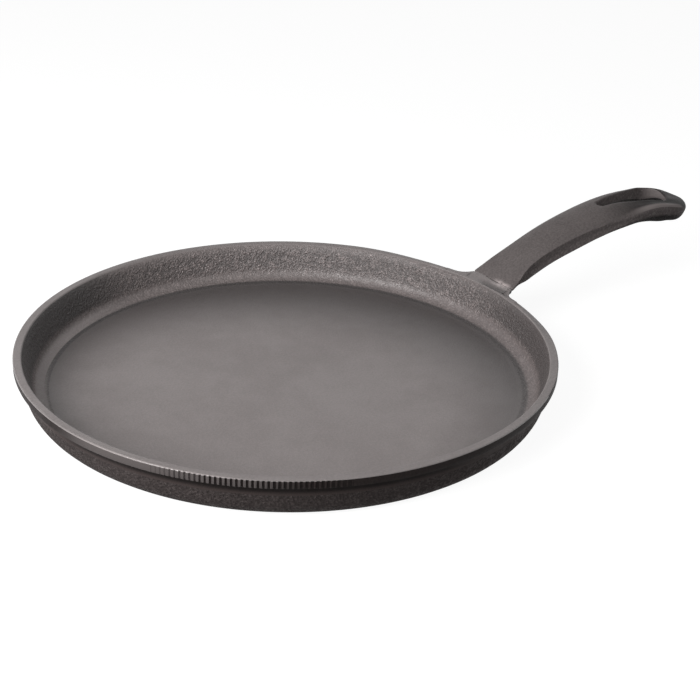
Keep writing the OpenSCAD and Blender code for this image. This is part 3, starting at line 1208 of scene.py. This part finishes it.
def ground_finish(name, dark, light, roughness, sheen, relief=0.1, marks=()):
    """Ground iron with a satin sheen and a fine even tooth."""
    material, tree, shader, place = new_material(name)
    tone = place_group(TONE, {"Vector": place, "Dark": dark, "Light": light})
    grain = place_group(GRAIN, {"Vector": place, "Scale": TOOTH_SCALE})
    rough = remap(tone["Stain"], 0.0, 1.0, roughness + STAIN_ROUGHER, roughness - STAIN_SMOOTHER)
    color = marked(place, tone["Color"], marks)
    finish_shader(tree, shader, color, rough, sheen, grain["Height"], relief)
    return material


def steel_finish(name, dark, light, roughness):
    """Bare steel, rougher where it is stained."""
    material, tree, shader, place = new_material(name)
    tone = place_group(TONE, {"Vector": place, "Dark": dark, "Light": light})
    rough = remap(tone["Stain"], 0.0, 1.0, roughness + 0.1, roughness)
    tree.links.new(tone["Color"], shader.inputs["Base Color"])
    tree.links.new(rough, shader.inputs["Roughness"])
    shader.inputs["Metallic"].default_value = 1.0
    return material


# Stage

# Light of the white room on the object, and the pale floor's glow where it is seen
ROOM_LIGHT = 0.06
FLOOR_GLOW = 0.92
# Half of the floor's side, and how far it lies below the base
FLOOR_HALF = 4000.0
FLOOR_DROP = 0.15


def set_camera():
    e = CAMERA_ELEVATION
    look = Matrix(((1, 0, 0), (0, -math.sin(e), -math.cos(e)), (0, math.cos(e), -math.sin(e))))
    aim = (Matrix.Rotation(CAMERA_ROLL, 3, "Z") @ Matrix.Rotation(CAMERA_PITCH, 3, "X")
           @ Matrix.Rotation(CAMERA_YAW, 3, "Y"))
    right, down, ahead = (aim @ look).row
    axes = Matrix((right, -down, -ahead)).transposed()
    turn = Matrix.Rotation(-HANDLE_BEARING, 3, "Z")
    stand = Vector((0, -math.cos(e), math.sin(e))) * CAMERA_DISTANCE
    camera = bpy.data.objects.new("camera", bpy.data.cameras.new("camera"))
    bpy.context.scene.collection.objects.link(camera)
    camera.data.lens = CAMERA_LENS
    camera.data.sensor_width = 36.0
    camera.data.clip_start = 0.01
    camera.matrix_world = (turn @ axes).to_4x4()
    camera.location = turn @ stand + Vector((0, 0, PAN_H * MM))
    bpy.context.scene.camera = camera


def add_softbox(name, place, aim, size, watts):
    data = bpy.data.lights.new(name, "AREA")
    data.shape = "DISK"
    data.size = size
    data.energy = watts
    lamp = bpy.data.objects.new(name, data)
    bpy.context.scene.collection.objects.link(lamp)
    lamp.location = on_view_axes(*place)
    lamp.rotation_euler = (on_view_axes(*aim) - lamp.location).to_track_quat("-Z", "Y").to_euler()


def seen_directly(tree):
    """One for rays that show the background: straight to the camera, mirrored or through glass."""
    rays = tree.nodes.new("ShaderNodeLightPath").outputs
    shown = math_node("MAXIMUM", rays["Is Camera Ray"], rays["Is Glossy Ray"])
    return math_node("MAXIMUM", shown, rays["Is Transmission Ray"])


def set_room():
    world = bpy.data.worlds.new("white_room")
    bpy.context.scene.world = world
    world.use_nodes = True
    tree = world.node_tree
    level = remap(seen_directly(tree), 0.0, 1.0, ROOM_LIGHT, 1.0)
    tree.links.new(level, tree.nodes["Background"].inputs["Strength"])
    tree.nodes["Background"].inputs["Color"].default_value = (1, 1, 1, 1)


def set_floor():
    bm = bmesh.new()
    bmesh.ops.create_grid(bm, x_segments=1, y_segments=1, size=FLOOR_HALF)
    bmesh.ops.translate(bm, verts=bm.verts, vec=(0, 0, -FLOOR_DROP))
    material, tree, shader, _ = new_material("pale_floor")
    shader.inputs["Roughness"].default_value = 0.9
    shader.inputs["Specular IOR Level"].default_value = 0.0
    shader.inputs["Base Color"].default_value = (0.2, 0.2, 0.2, 1.0)
    shader.inputs["Emission Color"].default_value = (1.0, 1.0, 1.0, 1.0)
    glow = remap(seen_directly(tree), 0.0, 1.0, 0.0, FLOOR_GLOW)
    tree.links.new(glow, shader.inputs["Emission Strength"])
    # clear from below, so that the underside can be seen
    below = tree.nodes.new("ShaderNodeNewGeometry").outputs["Backfacing"]
    clear = tree.nodes.new("ShaderNodeBsdfTransparent").outputs["BSDF"]
    either = add("ShaderNodeMixShader", {0: below, 1: shader.outputs["BSDF"], 2: clear})
    tree.links.new(either.outputs["Shader"], tree.nodes["Material Output"].inputs["Surface"])
    new_object("floor", bm, [material])


def set_lamps():
    add_softbox("key", place=(-0.544, -0.507, 0.412), aim=(0, 0, 0.02), size=0.7, watts=12.0)
    add_softbox("fill", place=(0.456, -0.543, 0.554), aim=(0.1, 0.05, 0.02), size=0.5, watts=1.1)
    add_softbox("overhead", place=(0.0, -0.1, 1.3), aim=(0, 0, 0), size=1.0, watts=1.0)


pan_iron = [
    ground_finish(
        "ground_floor", gray(0.138), gray(0.175), roughness=0.42, sheen=0.5,
        marks=[(floor_edge_shade, gray(0.045))]),
    cast_finish(
        "cast_inside", gray(0.083, 1.5), gray(0.126, 1.5), scale=1050.0, relief=1.0, roughness=0.42,
        sheen=0.68, contrast=0.75, inside=True,
        marks=[(floor_edge_shade, gray(0.03)), (shaded_wall, gray(0.025, 2)), (left_wall_shade, gray(0.008, 3)),
               (fillet_highlight, gray(0.215)), (foot_shade_line, gray(0.03))]),
    ground_finish(
        "ground_rim", gray(0.12), gray(0.158), roughness=0.42, sheen=0.5,
        marks=[(joint_hollow_shade, gray(0.035)), (bare_spot, gray(0.33))]),
    cast_finish(
        "cast_outside", gray(0.031, 1.5), gray(0.049, 1.5), scale=900.0, relief=0.8, roughness=0.6,
        sheen=0.05, contrast=0.3),
    ground_finish(
        "turned_band", gray(0.01, 2), gray(0.018, 2), roughness=0.5, sheen=0.06,
        marks=[(scraped_and_highlit_stretch, gray(0.07))]),
    # the chatter grooves, painted near black as the shade in them
    ground_finish(
        "groove_shade", gray(0.006, 2), gray(0.012, 2), roughness=0.6, sheen=0.05,
        marks=[(shallow_start, gray(0.06))]),
    ground_finish(
        "rim_edges", gray(0.11), gray(0.145), roughness=0.28, sheen=0.8,
        marks=[(rim_edge_highlight, gray(0.19))]),
    # strip under the band: near black at the front as painted shadow, the wall's tone elsewhere
    ground_finish(
        "band_shadow_strip", gray(0.006, 2), gray(0.012, 2), roughness=0.6, sheen=0.05,
        marks=[(clear_of_band_shadow, gray(0.036, 2))]),
]
handle_iron = [
    ground_finish(
        "handle_top", gray(0.078), gray(0.12), roughness=0.5, sheen=0.08, relief=0.15,
        marks=[(bare_spot, gray(0.33)), (grip_end_shade, gray(0.01)), (bead_highlight, gray(0.21))]),
    cast_finish(
        "handle_cast", gray(0.12), gray(0.15), scale=900.0, relief=0.5, roughness=0.55, sheen=0.05,
        contrast=0.25, marks=[(under_shade, gray(0.008))]),
    ground_finish("slot_round", gray(0.11), gray(0.14), roughness=0.5, sheen=0.08, relief=0.15),
    # the handle's underside and the screw's pocket, painted near black as the shade under the handle
    cast_finish(
        "handle_under_shade", gray(0.02), gray(0.032), scale=900.0, relief=0.6, roughness=0.6, sheen=0.05,
        contrast=0.3),
]
screw_steel = steel_finish("screw_steel", gray(0.1), gray(0.2), roughness=0.4)
washer_steel = steel_finish("washer_steel", gray(0.25), gray(0.4), roughness=0.35)

bpy.context.scene.view_settings.view_transform = "Standard"
set_camera()
set_room()
set_floor()
set_lamps()
make_pan(pan_iron)
make_handle(handle_iron)
make_bolt(screw_steel)
make_washer(washer_steel)
